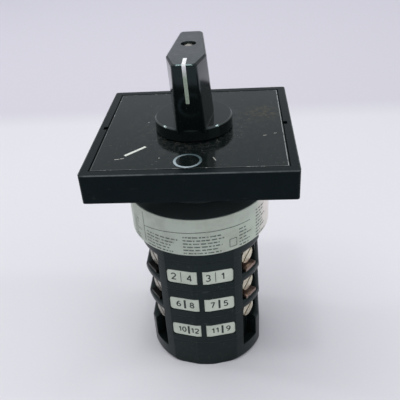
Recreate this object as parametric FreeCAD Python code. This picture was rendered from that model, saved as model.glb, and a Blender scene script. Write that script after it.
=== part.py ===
"""Rotary cam switch: knob and square front plate, latch drum, three contact stages, end cap.

Millimetres. +Z points up through the knob, the origin is the centre of the underside,
and the side that carries the terminal numbers faces -Y. Azimuths are in degrees about +Z,
counted from the front (-Y) towards +X. Every switch stage is the same moulded housing with
a cam in the middle and a plunger at the front and at the back.
"""
import FreeCAD, Part
import math
import os

V = FreeCAD.Vector
UP = V(0, 0, 1)
ORIGIN = V(0, 0, 0)

# Clearances
slide_gap = 0.2
loose_gap = 0.3
running_gap = 0.05
screw_gap = 0.2
seat_gap = 0.1
cut_over = 1.0

# Front plate and legend plate
plate_side = 64.0
plate_height = 9.5
plate_corner = 1.0
plate_wall = 2.2
plate_web = 2.0
rib_height = 3.2
legend_side = 58.0
legend_height = 0.9
legend_inset = 0.1
legend_slack = 0.35
legend_hole_radius = 10.6
pry_notch_length = 2.2
pry_notch_width = 1.2
hub_ring_inset = 0.5
hub_ring_wall = 3.0

# Space for the panel, and the collar through it
panel_space = 11.6
collar_radius = 15.0
collar_bore_radius = 8.0

# Knob
knob_height = 27.4
skirt_radius = 12.7
skirt_top = 4.4
skirt_wall = 1.5
skirt_hollow = 2.6
skirt_edge = 0.5
spigot_radius = 9.0
spigot_length = 6.0
grip_front_low = 12.6
grip_front_high = 19.8
grip_waist_low = 1.1
grip_waist_high = -10.9
grip_back_low = 11.6
grip_back_high = 13.6
grip_front_half_low = 4.5
grip_front_half_high = 3.5
grip_waist_half_low = 6.8
grip_waist_half_high = 5.95
grip_back_half_low = 4.5
grip_back_half_high = 3.7
grip_root_depth = 1.4
grip_edge = 0.6
edge_ease = 0.3
grip_corner = 0.8
grip_corner_steps = 3
knob_screw_recess = 1.2
knob_screw_head_radius = 2.2
knob_screw_head_height = 2.0
knob_screw_radius = 1.5
knob_screw_length = 17.0
knob_web = 2.6
slot_width = 0.8
slot_depth = 0.9

# Shaft and its clip
shaft_square = 6.0
journal_radius = 3.0
journal_end = 0.8
clip_height = 0.7
clip_radius = 4.6
clip_groove_radius = 2.3
clip_opening = 70.0
clip_recess_radius = 7.0
clip_recess_depth = 2.4

# Latch drum
drum_radius = 24.3
drum_height = 14.5
drum_floor = 3.0
drum_cavity_radius = 20.0
drum_lid = 2.5
band_thickness = 0.3
band_margin = 0.2
band_seam = 10.0
hub_radius = 5.0
star_radius = 10.6
star_valley_radius = 2.6
star_valley_centre = 11.4
star_points = 8
star_height = 3.5
star_lift = 3.1
stop_height = 1.6
stop_disc_radius = 8.5
stop_lug_reach = 14.0
stop_lug_angle = 20.0
stop_post_inner = 10.5
stop_post_outer = 14.6
stop_post_angle = 16.0
stop_gap_angle = 1.0
switch_angle = 45.0
lid_journal_radius = 6.0
leaf_thickness = 0.5
leaf_height = 2.5
leaf_end_x = 12.6
leaf_end_y = 15.0
leaf_knee_x = 3.2
leaf_knee_y = 12.9
leaf_nose_x = 1.2
leaf_nose_y = 11.2
leaf_ledge_radius = 2.2

# Screws that hold plate, collar and drum together
plate_screw_x = 19.5
plate_screw_radius = 1.75
plate_screw_head_radius = 3.0
plate_screw_head_height = 2.2
plate_boss_radius = 4.4
drum_boss_radius = 3.6
insert_radius = 2.6
insert_height = 7.0
plate_screw_grip = 6.0

# Bolts through the stack
tie_x = 13.0
tie_radius = 1.5
tie_head_radius = 2.75
tie_head_height = 2.2
nut_across = 5.5
nut_height = 2.4
nut_pocket = 3.4
tie_boss_radius = 3.6

# Stack of stages
stack_radius = 22.3
front_flat_half = 2.75
front_flat_depth = 1.3
front_facet_half = 12.0
side_flat_depth = 1.4
stage_count = 3
stage_height = 12.8
stage_floor = 3.8
rim_round = 1.3
rim_steps = 3
end_cap_height = 11.8
end_cap_round = 1.5
end_cap_floor = 3.2
end_cap_hollow_radius = 15.4
end_cap_hub_radius = 6.5
stack_lid_height = 6.1

# Terminal chambers
chamber_start = 41.0
chamber_end = 81.0
chamber_back_radius = 16.3
barrier_radius = 19.6
recess_end = 61.0
recess_radius = 18.2
recess_bottom = 6.4

# Inner cavity, plunger guide and spring pocket
cavity_half_x = 9.0
cavity_half_y = 15.0
spring_pocket_radius = 3.3
spring_wall = 2.0
groove_depth = 1.2

# Cam
cam_lift = 1.6
cam_top_gap = 1.8
lobe_radius = 8.2
cam_stroke = 2.0
lobe_dwell = 3.0

# Plunger and contact bridge
nose_gap = 0.4
nose_half = 2.4
plunger_top_gap = 0.5
keel_half = 1.5
keel_start = 1.0
peg_radius = 1.6
peg_length = 3.4
bridge_half = 8.4
bridge_inner_y = 13.2
bridge_thickness = 1.2
bridge_height = 4.5
tip_radius = 1.5
tip_height = 0.8
tip_x = 6.4
contact_gap = 0.2
spring_wire = 0.6
spring_mean_radius = 2.45
spring_turns = 3.5
spring_steps = 10

# Fixed contacts, terminal screws and washers
strip_thickness = 1.2
strip_overhang = 0.3
strip_arm_width = 2.8
contact_tab_inner_x = 4.6
contact_tab_outer_x = 8.3
contact_tab_rise = 2.1
terminal_azimuth = 55.0
terminal_radius = 16.5
strip_root_radius = 14.0
lip_reach = 21.8
short_lip_reach = 17.9
washer_inset = 0.5
washer_thickness = 0.8
screw_room_below = 0.9
screw_room_above = 0.5
terminal_screw_head_height = 1.8
terminal_screw_overhang = 1.45
terminal_screw_depth = 13.2
screw_slot_angle = 35.0

# Pocket and terminal number labels on the front of a stage
label_level = 6.0
label_height = 5.7
label_thickness = 0.4
label_half = 11.7
label_depth = 0.6
label_rib_half = 0.9
label_corner = 1.2
label_slack = 0.1

# Heights worked out from the sizes above
stage_base = end_cap_height
stack_lid_base = stage_base + stage_count * stage_height
drum_base = stack_lid_base + stack_lid_height
drum_cavity_base = drum_base + drum_floor
drum_top = drum_base + drum_height
drum_lid_base = drum_top - drum_lid
plate_base = drum_top + panel_space
plate_top = plate_base + plate_height
legend_seat = plate_top - legend_height - legend_inset
skirt_base = plate_top + loose_gap
grip_base = plate_top + skirt_top
knob_top = plate_top + knob_height
knob_screw_seat = knob_top - knob_screw_recess - knob_screw_head_height
shaft_top = knob_screw_seat - knob_web
star_base = drum_cavity_base + star_lift
star_top = star_base + star_height
stop_base = star_top + seat_gap
stop_top = stop_base + stop_height
chamber_height = stage_height - stage_floor
cam_height = chamber_height - cam_lift - cam_top_gap
plunger_height = chamber_height - loose_gap - plunger_top_gap
contact_level = chamber_height / 2
contact_tab_height = contact_level + contact_tab_rise
terminal_screw_head_radius = (chamber_height - strip_thickness - screw_room_below - screw_room_above) / 2
terminal_level = chamber_height - screw_room_above - terminal_screw_head_radius
terminal_screw_radius = terminal_screw_head_radius - terminal_screw_overhang
washer_half = terminal_screw_head_radius - washer_inset
strip_half_width = washer_half + strip_overhang
terminal_tab_height = terminal_level + washer_half

# Faces of the stack and of the contacts worked out from the sizes above
front_flat_y = stack_radius - front_flat_depth
side_flat_x = stack_radius - side_flat_depth
spring_wall_y = front_flat_y - label_depth - spring_wall
contact_face_y = bridge_inner_y - tip_height - cam_stroke - contact_gap
contact_tab_y = contact_face_y - tip_height


def polar(radius, azimuth, z=0.0):
    """Point at a radius and an azimuth counted from the front towards +X."""
    angle = math.radians(azimuth)
    return V(radius * math.sin(angle), -radius * math.cos(angle), z)


def block(x0, x1, y0, y1, z0, z1):
    return Part.makeBox(x1 - x0, y1 - y0, z1 - z0, V(x0, y0, z0))


def rod(radius, z0, z1, x=0.0, y=0.0):
    return Part.makeCylinder(radius, z1 - z0, V(x, y, z0), UP)


def rod_between(radius, start, end):
    return Part.makeCylinder(radius, (end - start).Length, start, end - start)


def tube(outer, inner, z0, z1):
    return rod(outer, z0, z1).cut(rod(inner, z0 - cut_over, z1 + cut_over))


def prism(points, z0, z1):
    """Upright solid over a closed outline of straight edges."""
    corners = [V(point.x, point.y, z0) for point in points]
    face = Part.Face(Part.makePolygon(corners + corners[:1]))
    return face.extrude(V(0, 0, z1 - z0))


def sector(inner, outer, start, end, z0, z1):
    """Upright piece of a ring between two azimuths."""
    middle = (start + end) / 2
    edges = [
        Part.LineSegment(polar(inner, start, z0), polar(outer, start, z0)).toShape(),
        Part.Arc(polar(outer, start, z0), polar(outer, middle, z0), polar(outer, end, z0)).toShape(),
        Part.LineSegment(polar(outer, end, z0), polar(inner, end, z0)).toShape(),
        Part.Arc(polar(inner, end, z0), polar(inner, middle, z0), polar(inner, start, z0)).toShape(),
    ]
    return Part.Face(Part.Wire(edges)).extrude(V(0, 0, z1 - z0))


def strip(points, thickness, z0, z1):
    """Sheet metal standing on edge along a bent line, with mitred bends."""
    left = []
    right = []
    for index, point in enumerate(points):
        before = points[max(index - 1, 0)]
        after = points[min(index + 1, len(points) - 1)]
        ahead = (after - point) if after != point else (point - before)
        behind = (point - before) if before != point else ahead
        ahead = V(ahead).normalize()
        behind = V(behind).normalize()
        bisector = (ahead + behind).normalize()
        normal = V(-bisector.y, bisector.x, 0)
        reach = thickness / 2 / bisector.dot(ahead)
        left.append(point + normal * reach)
        right.append(point - normal * reach)
    return prism(left + right[::-1], z0, z1)


def hexagon(across, z0, z1, x=0.0, y=0.0):
    """Upright hexagonal prism with two flats facing the X axis."""
    corner = across / math.sqrt(3)
    points = [V(x, y, 0) + polar(corner, 60 * side) for side in range(6)]
    return prism(points, z0, z1)


def flip_x(shape):
    return shape.mirror(ORIGIN, V(1, 0, 0))


def flip_y(shape):
    return shape.mirror(ORIGIN, V(0, 1, 0))


def both_sides(shape):
    return [shape, flip_x(shape)]


def four_ways(shape):
    """The shape and its images left to right and front to back."""
    return [copy for half in both_sides(shape) for copy in (half, flip_y(half))]


def cut_all(shape, tools):
    return shape.cut(tools[0].multiFuse(tools[1:])) if len(tools) > 1 else shape.cut(tools[0])


def fuse_all(shape, others):
    return shape.multiFuse(others).removeSplitter()


def upright_edges(shape, radius):
    """Upright edges that stand at a given distance from the axis."""
    found = []
    for edge in shape.Edges:
        first, last = edge.Vertexes[0].Point, edge.Vertexes[-1].Point
        upright = abs(first.x - last.x) + abs(first.y - last.y) < 0.001
        if upright and abs(math.hypot(first.x, first.y) - radius) < 0.01:
            found.append(edge)
    return found


def rounded(corners, reach, steps):
    """Closed outline whose corners are eased by a short curve of a few straight steps."""
    points = []
    for index, corner in enumerate(corners):
        before = (corners[index - 1] - corner).normalize() * reach
        after = (corners[(index + 1) % len(corners)] - corner).normalize() * reach
        for step in range(steps + 1):
            share = step / steps
            points.append(corner + before * (1 - share) ** 2 + after * share ** 2)
    return Part.makePolygon(points + points[:1])


def knob_grip():
    """Six-sided grip whose nose leans forward and whose waist moves forward as it rises."""
    def outline(share, inset):
        z = grip_base + share * (knob_top - grip_base)

        def between(low, high):
            return low + (high - low) * share

        front = between(grip_front_low, grip_front_high) - inset
        waist = between(grip_waist_low, grip_waist_high)
        back = between(grip_back_low, grip_back_high) - inset
        right = [V(between(grip_front_half_low, grip_front_half_high) - inset, -front, z),
                 V(between(grip_waist_half_low, grip_waist_half_high) - inset, waist, z),
                 V(between(grip_back_half_low, grip_back_half_high) - inset, back, z)]
        left = [V(-point.x, point.y, z) for point in reversed(right)]
        return rounded(right + left, grip_corner, grip_corner_steps)

    root = -grip_root_depth / (knob_top - grip_base)
    shoulder = 1 - grip_edge / (knob_top - grip_base)
    half_way = (1 + shoulder) / 2
    body = Part.makeLoft([outline(root, 0), outline(shoulder, 0)], True, True)
    crown = Part.makeLoft([outline(shoulder, 0), outline(half_way, grip_edge * edge_ease),
                           outline(1, grip_edge)], True, True)
    return body.fuse(crown).removeSplitter()


def knob():
    skirt = rod(skirt_radius, skirt_base, grip_base)
    rim = [edge for edge in skirt.Edges
           if abs(edge.CenterOfMass.z - grip_base) < 0.01 and edge.Length > skirt_radius]
    skirt = skirt.makeChamfer(skirt_edge, rim)
    skirt = skirt.cut(tube(skirt_radius - skirt_wall, spigot_radius,
                           skirt_base - cut_over, skirt_base + skirt_hollow))
    spigot = rod(spigot_radius, skirt_base - spigot_length, skirt_base)
    body = fuse_all(skirt, [spigot, knob_grip()])
    half = shaft_square / 2 + seat_gap
    socket = block(-half, half, -half, half, skirt_base - spigot_length - cut_over, shaft_top)
    recess = rod(knob_screw_head_radius + screw_gap, knob_screw_seat, knob_top + cut_over)
    hole = rod(knob_screw_radius + screw_gap, shaft_top - cut_over, knob_screw_seat + cut_over)
    return cut_all(body, [socket, recess, hole])


def knob_screw():
    head = rod(knob_screw_head_radius, knob_screw_seat, knob_screw_seat + knob_screw_head_height)
    shank = rod(knob_screw_radius, knob_screw_seat - knob_screw_length, knob_screw_seat)
    top = knob_screw_seat + knob_screw_head_height
    slot = block(-knob_screw_head_radius, knob_screw_head_radius, -slot_width / 2, slot_width / 2,
                 top - slot_depth, top + cut_over)
    return head.fuse(shank).cut(slot).removeSplitter()


def shaft():
    half = shaft_square / 2
    square = block(-half, half, -half, half, stage_base, shaft_top)
    journal = rod(journal_radius, journal_end, stage_base)
    clip_top = clip_recess_depth - seat_gap
    groove = tube(journal_radius + cut_over, clip_groove_radius,
                  clip_top - clip_height - seat_gap, clip_top)
    tapping = rod(knob_screw_radius + running_gap, knob_screw_seat - knob_screw_length - cut_over,
                  shaft_top + cut_over)
    return cut_all(fuse_all(square, [journal]), [groove, tapping])


def shaft_clip():
    top = clip_recess_depth - seat_gap
    ring = tube(clip_radius, clip_groove_radius + running_gap, top - clip_height, top)
    opening = sector(clip_groove_radius / 2, clip_radius + cut_over, -clip_opening / 2, clip_opening / 2,
                     top - clip_height - cut_over, top + cut_over)
    return ring.cut(opening)


def legend_plate():
    half = legend_side / 2
    top = legend_seat + legend_height
    plate = block(-half, half, -half, half, legend_seat, top)
    return plate.cut(rod(legend_hole_radius, legend_seat - cut_over, top + cut_over))


def plate_frame():
    """Hollow-backed square moulding with a rim round the legend plate."""
    half = plate_side / 2
    body = block(-half, half, -half, half, plate_base, plate_top)
    corner_radius = half * math.sqrt(2)
    body = body.makeFillet(plate_corner, upright_edges(body, corner_radius))
    inner = half - plate_wall
    web_base = legend_seat - plate_web
    hollow = block(-inner, inner, -inner, inner, plate_base - cut_over, web_base)
    hub_radius_outer = collar_radius - hub_ring_inset
    hub = rod(hub_radius_outer, plate_base - cut_over, web_base)
    bosses = [rod(plate_boss_radius, plate_base - cut_over, web_base, x)
              for x in (plate_screw_x, -plate_screw_x)]
    ribs = [block(-inner, inner, -plate_wall / 2, plate_wall / 2, web_base - rib_height, web_base),
            block(-plate_wall / 2, plate_wall / 2, -inner, inner, web_base - rib_height, web_base)]
    body = body.cut(cut_all(hollow, [hub] + bosses + ribs))
    seat = legend_side / 2 + legend_slack
    recess = block(-seat, seat, -seat, seat, legend_seat, plate_top + cut_over)
    notch = block(seat - cut_over, seat + pry_notch_width, -pry_notch_length / 2, pry_notch_length / 2,
                  legend_seat, plate_top + cut_over)
    bore = rod(hub_radius_outer - hub_ring_wall, plate_base - cut_over, legend_seat - plate_web)
    window = rod(legend_hole_radius, plate_base - cut_over, legend_seat + cut_over)
    holes = []
    for x in (plate_screw_x, -plate_screw_x):
        holes.append(rod(plate_screw_radius + screw_gap, plate_base - cut_over,
                         legend_seat + cut_over, x))
        holes.append(rod(plate_screw_head_radius + screw_gap, plate_screw_seat(),
                         legend_seat + cut_over, x))
    return cut_all(body, [recess, notch, flip_x(notch), bore, window] + holes)


def plate_screw_seat():
    return legend_seat - plate_screw_head_height - seat_gap


def plate_screws():
    screws = []
    seat = plate_screw_seat()
    for x in (plate_screw_x, -plate_screw_x):
        head = rod(plate_screw_head_radius, seat, seat + plate_screw_head_height, x)
        shank = rod(plate_screw_radius, drum_lid_base - plate_screw_grip, seat, x)
        top = seat + plate_screw_head_height
        slot = block(x - plate_screw_head_radius, x + plate_screw_head_radius,
                     -slot_width / 2, slot_width / 2, top - slot_depth, top + cut_over)
        screws.append(head.fuse(shank).cut(slot).removeSplitter())
    return Part.makeCompound(screws)


def inserts():
    """Threaded sleeves in the drum that the plate screws turn into."""
    made = []
    for x in (plate_screw_x, -plate_screw_x):
        sleeve = rod(insert_radius, drum_lid_base - insert_height, drum_lid_base, x)
        bore = rod(plate_screw_radius + running_gap, drum_lid_base - insert_height - cut_over,
                   drum_lid_base + cut_over, x)
        made.append(sleeve.cut(bore))
    return Part.makeCompound(made)


def latch_housing():
    """Drum with its floor, screw bosses and ledges under the ends of the leaf springs."""
    body = rod(drum_radius, drum_base, drum_lid_base)
    cavity = rod(drum_cavity_radius, drum_cavity_base, drum_lid_base + cut_over)
    bosses = [rod(drum_boss_radius, drum_cavity_base - cut_over, drum_lid_base + cut_over, x)
              for x in (plate_screw_x, -plate_screw_x)]
    ledge_top = star_base + leaf_offset() - seat_gap
    ledges = four_ways(rod(leaf_ledge_radius, drum_cavity_base - cut_over, ledge_top,
                           leaf_end_x, -leaf_end_y))
    cavity = cut_all(cavity, bosses + ledges)
    holes = [rod(hub_radius + loose_gap, drum_base - cut_over, drum_cavity_base + cut_over)]
    for x in (plate_screw_x, -plate_screw_x):
        holes.append(rod(insert_radius + running_gap, drum_lid_base - insert_height,
                         drum_lid_base + cut_over, x))
    for x in (tie_x, -tie_x):
        holes.append(rod(tie_radius + screw_gap, drum_base - cut_over, drum_cavity_base + cut_over, x))
    return cut_all(body, [cavity] + holes)


def leaf_offset():
    """Height of a leaf spring's lower edge above the star wheel's underside."""
    return (star_height - leaf_height) / 2


def latch_lid():
    """Lid of the drum with the collar that passes through the panel, and the two stops."""
    disc = rod(drum_radius, drum_lid_base, drum_top)
    collar = rod(collar_radius, drum_top, plate_base)
    half_lug = stop_lug_angle / 2
    half_post = stop_post_angle / 2
    rest_stop = 90 + half_lug + stop_gap_angle + half_post
    far_stop = 90 - switch_angle - half_lug - stop_gap_angle - half_post
    posts = [sector(stop_post_inner, stop_post_outer, centre - half_post, centre + half_post,
                    stop_base, drum_lid_base) for centre in (rest_stop, far_stop)]
    body = fuse_all(disc, [collar] + posts)
    bearing = rod(lid_journal_radius + running_gap, drum_lid_base - cut_over, drum_top + cut_over)
    bore = rod(collar_bore_radius, drum_top, plate_base + cut_over)
    holes = [rod(plate_screw_radius + screw_gap, drum_lid_base - cut_over, drum_top + cut_over, x)
             for x in (plate_screw_x, -plate_screw_x)]
    return cut_all(body, [bearing, bore] + holes)


def rating_band():
    """Printed band wrapped round the drum, with its seam at the back."""
    return sector(drum_radius, drum_radius + band_thickness, -180 + band_seam / 2, 180 - band_seam / 2,
                  drum_base + band_margin, drum_top - band_margin)


def square_hole(z0, z1):
    half = shaft_square / 2 + running_gap
    return block(-half, half, -half, half, z0 - cut_over, z1 + cut_over)


def index_wheel():
    """Scalloped star wheel whose hub reaches down through the drum's floor."""
    hub_base = stack_lid_base + seat_gap
    hub = rod(hub_radius, hub_base, star_top)
    star = rod(star_radius, star_base, star_top)
    valleys = []
    for index in range(star_points):
        centre = polar(star_valley_centre, index * 360 / star_points)
        valleys.append(rod(star_valley_radius, star_base - cut_over, star_top + cut_over,
                           centre.x, centre.y))
    star = cut_all(star, valleys)
    return fuse_all(hub, [star]).cut(square_hole(hub_base, star_top))


def stop_disc():
    disc = rod(stop_disc_radius, stop_base, stop_top)
    lug = sector(stop_disc_radius - cut_over, stop_lug_reach,
                 90 - stop_lug_angle / 2, 90 + stop_lug_angle / 2, stop_base, stop_top)
    journal = rod(lid_journal_radius, stop_top, drum_top - slide_gap)
    return fuse_all(disc, [lug, journal]).cut(square_hole(stop_base, drum_top))


def leaf_spring():
    """Bent leaf across the front of the star wheel, its nose in a valley."""
    nose_y = star_valley_centre - star_valley_radius + slide_gap + leaf_thickness
    right = [V(leaf_nose_x, -leaf_nose_y, 0), V(leaf_knee_x, -leaf_knee_y, 0),
             V(leaf_end_x, -leaf_end_y, 0)]
    left = [V(-point.x, point.y, 0) for point in reversed(right)]
    base = star_base + leaf_offset()
    return strip(left + [V(0, -nose_y, 0)] + right, leaf_thickness, base, base + leaf_height)


def facet_ends():
    """Start and end of the flat facet that runs from the front flat back to the round part."""
    end_y = math.sqrt(stack_radius ** 2 - front_facet_half ** 2)
    return V(front_flat_half, -front_flat_y, 0), V(front_facet_half, -end_y, 0)


def side_flat_half():
    return math.sqrt(stack_radius ** 2 - side_flat_x ** 2)


def stack_outline(z0, z1):
    """Round column with a flat at each side and three facets at the front and at the back."""
    bend, facet_end = facet_ends()
    corner = V(side_flat_x, -side_flat_half(), 0)
    middle = (facet_end + corner).normalize() * stack_radius
    quarter = Part.Wire([Part.LineSegment(bend, facet_end).toShape(),
                         Part.Arc(facet_end, middle, corner).toShape()])
    front = Part.LineSegment(V(-bend.x, bend.y, 0), bend).toShape()
    side = Part.LineSegment(corner, V(corner.x, -corner.y, 0)).toShape()
    pieces = four_ways(quarter) + [front, flip_y(front)] + both_sides(side)
    edges = Part.sortEdges([edge for piece in pieces for edge in piece.Edges])[0]
    column = Part.Face(Part.Wire(edges)).extrude(V(0, 0, z1 - z0))
    column.translate(V(0, 0, z0))
    return column


def rim_profile(reach, ease, z, outward):
    """Section of what is taken off a rim that lies at a given distance in front of the axis."""
    inner = reach - ease
    profile = []
    for step in range(rim_steps + 1):
        angle = math.pi / 2 * step / rim_steps
        profile.append(V(0, -inner - ease * math.sin(angle), z - outward * ease * (1 - math.cos(angle))))
    profile.append(V(0, -reach - cut_over, z - outward * ease))
    profile.append(V(0, -reach - cut_over, z + outward * cut_over))
    profile.append(V(0, -inner, z + outward * cut_over))
    return Part.Face(Part.makePolygon(profile + profile[:1]))


def rim_cutters(z, outward):
    """Cutters that ease the rims of a fin at height z, above it (+1) or below it (-1)."""
    ring = rim_profile(stack_radius, rim_round, z, outward)
    ring.rotate(ORIGIN, UP, chamber_start)
    round_part = ring.revolve(ORIGIN, UP, 180 - 2 * chamber_start)
    bar = rim_profile(side_flat_x, rim_round, z, outward)
    bar.rotate(ORIGIN, UP, 90)
    bar.translate(V(0, -side_flat_half(), 0))
    flat_part = bar.extrude(V(0, 2 * side_flat_half(), 0))
    return both_sides(round_part) + both_sides(flat_part)


def chambers(floor, top):
    """Cutters for the four terminal chambers and for the low barrier between them."""
    waist = sector(barrier_radius, stack_radius + cut_over, chamber_start, 180 - chamber_start, floor, top)
    pocket = sector(chamber_back_radius, stack_radius + cut_over, chamber_start, chamber_end, floor, top)
    return both_sides(waist) + four_ways(pocket)


def tie_holes(z0, z1):
    return [rod(tie_radius + screw_gap, z0 - cut_over, z1 + cut_over, x) for x in (tie_x, -tie_x)]


def strip_outline(floor, lip, spare):
    """Flat part of a fixed contact on a stage's floor, larger by a spare width for its slot."""
    along = polar(1, terminal_azimuth)
    across = V(-along.y, along.x, 0)
    half = strip_half_width + spare
    corners = [along * strip_root_radius - across * half, along * (lip + spare) - across * half,
               along * (lip + spare) + across * half, along * strip_root_radius + across * half]
    foot = prism(corners, floor, floor + strip_thickness + spare)
    arm_back = -contact_tab_y + strip_thickness
    root = along * (strip_root_radius + strip_half_width)
    arm = block(contact_tab_inner_x - spare, root.x, arm_back - strip_arm_width - spare, arm_back + spare,
                floor, floor + strip_thickness + spare)
    return foot.fuse(arm)


def label_path():
    """Right half of the bent line that a stage's label lies on, set back from the facets."""
    bend, facet_end = facet_ends()
    facet = (facet_end - bend).normalize()
    tilt = math.atan2(facet.y, facet.x)
    inner_bend = bend + V(-math.tan(tilt / 2), 1, 0) * label_depth
    inner_end = inner_bend + facet * ((label_half - inner_bend.x) / facet.x)
    return [V(0, inner_bend.y, 0), inner_bend, inner_end]


def label_pocket(base):
    """Shallow pocket across the front facets, with a rib left standing at its middle."""
    low = base + label_level - label_height / 2 - label_slack
    high = base + label_level + label_height / 2 + label_slack
    right = label_path()
    left = [V(-point.x, point.y, 0) for point in reversed(right[1:])]
    far = stack_radius + cut_over
    outline = left + right + [V(label_half, -far, 0), V(-label_half, -far, 0)]
    rib = block(-label_rib_half, label_rib_half, -far, -cavity_half_y, low - cut_over, high + cut_over)
    return prism(outline, low, high).cut(rib)


def terminal_axis(radius, level):
    return polar(radius, terminal_azimuth, level)


def stage_housing(index):
    """Cup-shaped moulding: fin-like floor, four open chambers, cavity for cam and contacts."""
    base = stage_base + index * stage_height
    floor = base + stage_floor
    top = base + stage_height
    body = stack_outline(base, top)
    cavity = block(-cavity_half_x, cavity_half_x, -cavity_half_y, cavity_half_y, floor, top + cut_over)
    hub_hole = rod(hub_radius + loose_gap, base - cut_over, floor + cut_over)
    pocket = rod_between(spring_pocket_radius, V(0, -spring_wall_y, floor + contact_level),
                         V(0, -cavity_half_y + cut_over, floor + contact_level))
    groove_half = keel_half + slide_gap
    groove_inner = lobe_radius + nose_gap + keel_start - cam_stroke - loose_gap
    groove = block(-groove_half, groove_half, -bridge_inner_y - loose_gap, -groove_inner,
                   floor - groove_depth, floor + cut_over)
    screw_level = floor + terminal_level
    screw_hole = rod_between(terminal_screw_radius + screw_gap,
                             terminal_axis(terminal_screw_depth - screw_gap, screw_level),
                             terminal_axis(chamber_back_radius + cut_over, screw_level))
    slot = strip_outline(floor, chamber_back_radius, seat_gap)
    tools = [cavity, hub_hole, pocket, flip_y(pocket), groove, flip_y(groove), label_pocket(base)]
    tools += chambers(floor, top + cut_over) + tie_holes(base, top)
    tools += four_ways(screw_hole) + four_ways(slot)
    tools += rim_cutters(floor, 1)
    if index == 0:
        tools += four_ways(side_recess(base - cut_over, floor + cut_over))
    else:
        tools += rim_cutters(base, -1)
    return cut_all(body, tools)


def side_recess(z0, z1):
    return sector(recess_radius, stack_radius + cut_over, chamber_start, recess_end, z0, z1)


def end_cap():
    """Hollow bottom moulding with the shaft's lower bearing and pockets for the tie nuts."""
    lower_rim = rim_profile(stack_radius, end_cap_round, 0, -1).revolve(ORIGIN, UP, 360)
    body = stack_outline(0, end_cap_height).cut(lower_rim)
    hollow = tube(end_cap_hollow_radius, end_cap_hub_radius, end_cap_floor, end_cap_height + cut_over)
    bosses = [rod(tie_boss_radius, end_cap_floor - cut_over, end_cap_height + cut_over, x)
              for x in (tie_x, -tie_x)]
    hollow = cut_all(hollow, bosses)
    bearing = rod(journal_radius + running_gap, -cut_over, end_cap_height + cut_over)
    clip_recess = rod(clip_recess_radius, -cut_over, clip_recess_depth)
    nuts = [hexagon(nut_across + 2 * seat_gap, -cut_over, nut_pocket, x)
            for x in (tie_x, -tie_x)]
    recesses = four_ways(side_recess(recess_bottom, end_cap_height + cut_over))
    tools = [hollow, bearing, clip_recess] + nuts + tie_holes(0, end_cap_height) + recesses
    return cut_all(body, tools)


def stack_lid():
    """Cover of the top stage, between the stack and the drum."""
    top = stack_lid_base + stack_lid_height
    body = stack_outline(stack_lid_base, top)
    hole = rod(hub_radius + loose_gap, stack_lid_base - cut_over, top + cut_over)
    return cut_all(body, [hole] + tie_holes(stack_lid_base, top) + rim_cutters(stack_lid_base, -1))


def tie_bolts():
    bolts = []
    for x in (tie_x, -tie_x):
        head = rod(tie_head_radius, drum_cavity_base, drum_cavity_base + tie_head_height, x)
        shank = rod(tie_radius, nut_pocket - nut_height - seat_gap, drum_cavity_base, x)
        bolts.append(head.fuse(shank).removeSplitter())
    return Part.makeCompound(bolts)


def tie_nuts():
    nuts = []
    for x in (tie_x, -tie_x):
        nut = hexagon(nut_across, nut_pocket - nut_height, nut_pocket, x)
        nuts.append(nut.cut(rod(tie_radius + running_gap, -cut_over, nut_pocket + cut_over, x)))
    return Part.makeCompound(nuts)


def cam(index):
    """Two-lobed cam whose flanks fall by the full stroke over the switching angle."""
    base = stage_base + index * stage_height
    low = base + stage_floor + cam_lift

    def radius_at(offset):
        fall = max(abs(offset) - lobe_dwell, 0) / (switch_angle - lobe_dwell)
        return lobe_radius - cam_stroke * min(fall, 1)

    def flank(lobe, start, end):
        steps = 6
        offsets = [start + (end - start) * step / steps for step in range(steps + 1)]
        curve = Part.BSplineCurve()
        curve.interpolate([polar(radius_at(offset), lobe + offset, low) for offset in offsets])
        return curve.toShape()

    def arc(start, end, radius):
        return Part.Arc(polar(radius, start, low), polar(radius, (start + end) / 2, low),
                        polar(radius, end, low)).toShape()

    edges = []
    for lobe in (0, 180):
        edges.append(arc(lobe - lobe_dwell, lobe + lobe_dwell, lobe_radius))
        edges.append(flank(lobe, lobe_dwell, switch_angle))
        edges.append(arc(lobe + switch_angle, lobe + 180 - switch_angle, lobe_radius - cam_stroke))
        edges.append(flank(lobe + 180, -switch_angle, -lobe_dwell))
    disc = Part.Face(Part.Wire(edges)).extrude(V(0, 0, cam_height))
    hub = rod(hub_radius, base + seat_gap, base + stage_height - seat_gap)
    return fuse_all(hub, [disc]).cut(square_hole(base, base + stage_height))


def front_plunger(index):
    """Slide with a round nose on the cam, a keel in the floor and a peg for bridge and spring."""
    floor = stage_base + index * stage_height + stage_floor
    low = floor + loose_gap
    high = low + plunger_height
    tip = lobe_radius + nose_gap
    round_nose = rod(nose_half, low, high, 0, -tip - nose_half)
    round_nose = round_nose.common(block(-nose_half, nose_half, -tip - nose_half, -tip, low, high))
    shank = block(-nose_half, nose_half, -bridge_inner_y, -tip - nose_half, low, high)
    keel = block(-keel_half, keel_half, -bridge_inner_y, -tip - keel_start,
                 floor - groove_depth + slide_gap, low)
    peg = rod_between(peg_radius, V(0, -bridge_inner_y, floor + contact_level),
                      V(0, -bridge_inner_y - peg_length, floor + contact_level))
    return fuse_all(shank, [round_nose, keel, peg])


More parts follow.
